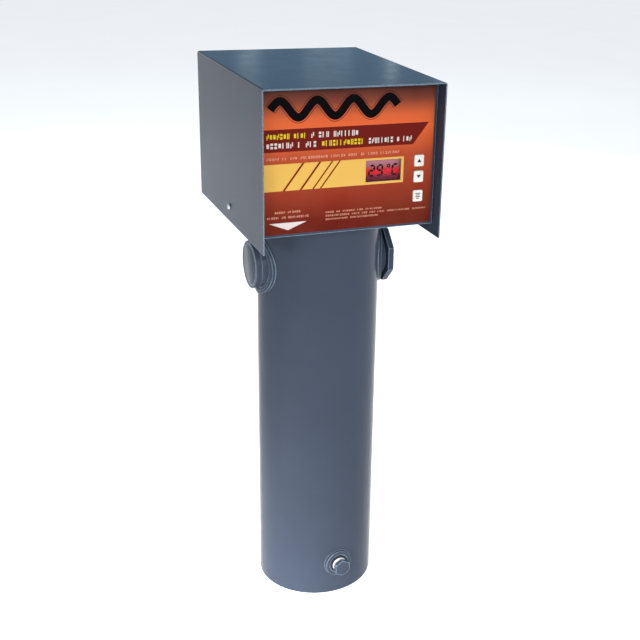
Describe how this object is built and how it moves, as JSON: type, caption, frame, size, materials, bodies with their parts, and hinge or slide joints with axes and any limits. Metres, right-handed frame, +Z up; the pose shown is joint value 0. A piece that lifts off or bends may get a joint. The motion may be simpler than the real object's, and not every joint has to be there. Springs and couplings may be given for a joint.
{
  "type": "electric pool heater",
  "caption": "Upright electric pool and spa heater: a pipe tank with two side ports and a drain, a digital control box on top and a lift-off sheet-metal hood.",
  "frame": {"origin": "centre of the tank's base, on the surface it stands on", "axes": "+Z up along the tank, -Y towards the front panel, +X to the right seen from the front"},
  "size_m": [0.2466, 0.304, 0.762],
  "materials": {
    "paint": "glossy blue-grey powder coat",
    "zinc": "bright zinc plate",
    "steel": "plain mill steel",
    "brass": "machined brass",
    "rubber": "matt black rubber",
    "black_plastic": "moulded black thermoset",
    "cream_plastic": "moulded cream plastic",
    "red_plastic": "glossy red button",
    "label_film": "printed polycarbonate film, dark brown to orange to dark red",
    "clear_window": "clear acrylic window",
    "display_film": "red backlit liquid-crystal display",
    "board": "green circuit board",
    "gasket": "fibre gasket",
    "lead_black": "black lead insulation",
    "lead_red": "red lead insulation",
    "lead_grey": "grey lead insulation",
    "copper": "bare copper"
  },
  "bodies": {
    "heater": {"control_chassis": "paint", "front_label": "label_film", "display_window": "clear_window", "display_panel": "display_film", "display_board": "board", "high_limit_body": "black_plastic", "limit_capillary": "copper", "limit_well": "brass", "contactor_body": "black_plastic", "transformer": "steel", "terminal_block": "black_plastic", "pressure_switch_body": "black_plastic", "pressure_tube": "copper", "ground_lug": "copper", "tank_tube": "paint", "tank_base_plate": "paint", "tank_top_plate": "steel", "element_gasket": "gasket", "element_flange": "brass", "flange_bolt_1": "zinc", "flange_bolt_2": "zinc", "flange_bolt_3": "zinc", "flange_bolt_4": "zinc", "element_left": "steel", "element_right": "steel", "element_strap_front": "copper", "element_strap_rear": "copper", "flow_baffle": "steel", "thermowell": "brass", "sensor_lead": "lead_black", "inlet_saddle": "paint", "inlet_stub": "paint", "outlet_saddle": "paint", "outlet_stub": "paint", "drain_boss": "paint", "conduit_gland": "black_plastic", "gland_locknut": "black_plastic", "chassis_screw_1": "zinc", "chassis_screw_2": "zinc", "chassis_screw_3": "zinc", "element_lead_front": "lead_red", "element_lead_rear": "lead_black", "supply_lead": "lead_black", "board_lead": "lead_grey"},
    "hood": {"hood": "paint", "hood_screw_left": "zinc", "hood_screw_right": "zinc", "hood_nut_left": "zinc", "hood_nut_right": "zinc"},
    "up_key": {"up_key": "cream_plastic"},
    "down_key": {"down_key": "cream_plastic"},
    "mode_key": {"mode_key": "cream_plastic"},
    "reset_button": {"reset_button": "red_plastic"},
    "armature": {"contactor_armature": "cream_plastic"},
    "pressure_knob": {"pressure_knob": "cream_plastic"},
    "inlet_cap": {"inlet_cap": "paint"},
    "outlet_seal": {"outlet_seal": "rubber"},
    "outlet_plug": {"outlet_plug": "paint"},
    "drain_seal": {"drain_seal": "rubber"},
    "drain_plug": {"drain_plug": "zinc"}
  },
  "joints": [
    {"name": "hood_lift", "type": "slide", "parent": "heater", "child": "hood", "axis": [0, 0, 1], "range_m": [0, 0.2]},
    {"name": "up_key_press", "type": "slide", "parent": "heater", "child": "up_key", "axis": [0, 1, 0], "range_m": [0, 0.0008], "stiffness_N_per_m": 1200, "springref_m": -0.001},
    {"name": "down_key_press", "type": "slide", "parent": "heater", "child": "down_key", "axis": [0, 1, 0], "range_m": [0, 0.0008], "stiffness_N_per_m": 1200, "springref_m": -0.001},
    {"name": "mode_key_press", "type": "slide", "parent": "heater", "child": "mode_key", "axis": [0, 1, 0], "range_m": [0, 0.0008], "stiffness_N_per_m": 1200, "springref_m": -0.001},
    {"name": "reset_press", "type": "slide", "parent": "heater", "child": "reset_button", "axis": [0, 0, 1], "range_m": [0, 0.002], "stiffness_N_per_m": 800, "springref_m": -0.002},
    {"name": "armature_pull", "type": "slide", "parent": "heater", "child": "armature", "axis": [0, 0, -1], "range_m": [0, 0.003], "stiffness_N_per_m": 500, "springref_m": -0.004},
    {"name": "pressure_knob_turn", "type": "hinge", "parent": "heater", "child": "pressure_knob", "pos_m": [0.088, -0.03, 0.612], "axis": [0, 0, 1], "range_deg": [-135, 135]},
    {"name": "inlet_cap_pull", "type": "slide", "parent": "heater", "child": "inlet_cap", "axis": [-1, 0, 0], "range_m": [0, 0.04]},
    {"name": "outlet_plug_turn", "type": "hinge", "parent": "heater", "child": "outlet_seal", "pos_m": [0.096, 0, 0.501], "axis": [1, 0, 0], "range_deg": [0, 1800]},
    {"name": "outlet_plug_travel", "type": "slide", "parent": "outlet_seal", "child": "outlet_plug", "axis": [1, 0, 0], "range_m": [0, 0.0112]},
    {"name": "drain_plug_turn", "type": "hinge", "parent": "heater", "child": "drain_seal", "pos_m": [0.00614, -0.08779, 0.05], "axis": [0.0698, -0.9976, 0], "range_deg": [0, 1800]},
    {"name": "drain_plug_travel", "type": "slide", "parent": "drain_seal", "child": "drain_plug", "axis": [0.0698, -0.9976, 0], "range_m": [0, 0.0092]}
  ],
  "couplings": [
    {"joint": "outlet_plug_travel", "follows": "outlet_plug_turn", "m_per_rad": 0.00035157},
    {"joint": "drain_plug_travel", "follows": "drain_plug_turn", "m_per_rad": 0.00028871}
  ]
}
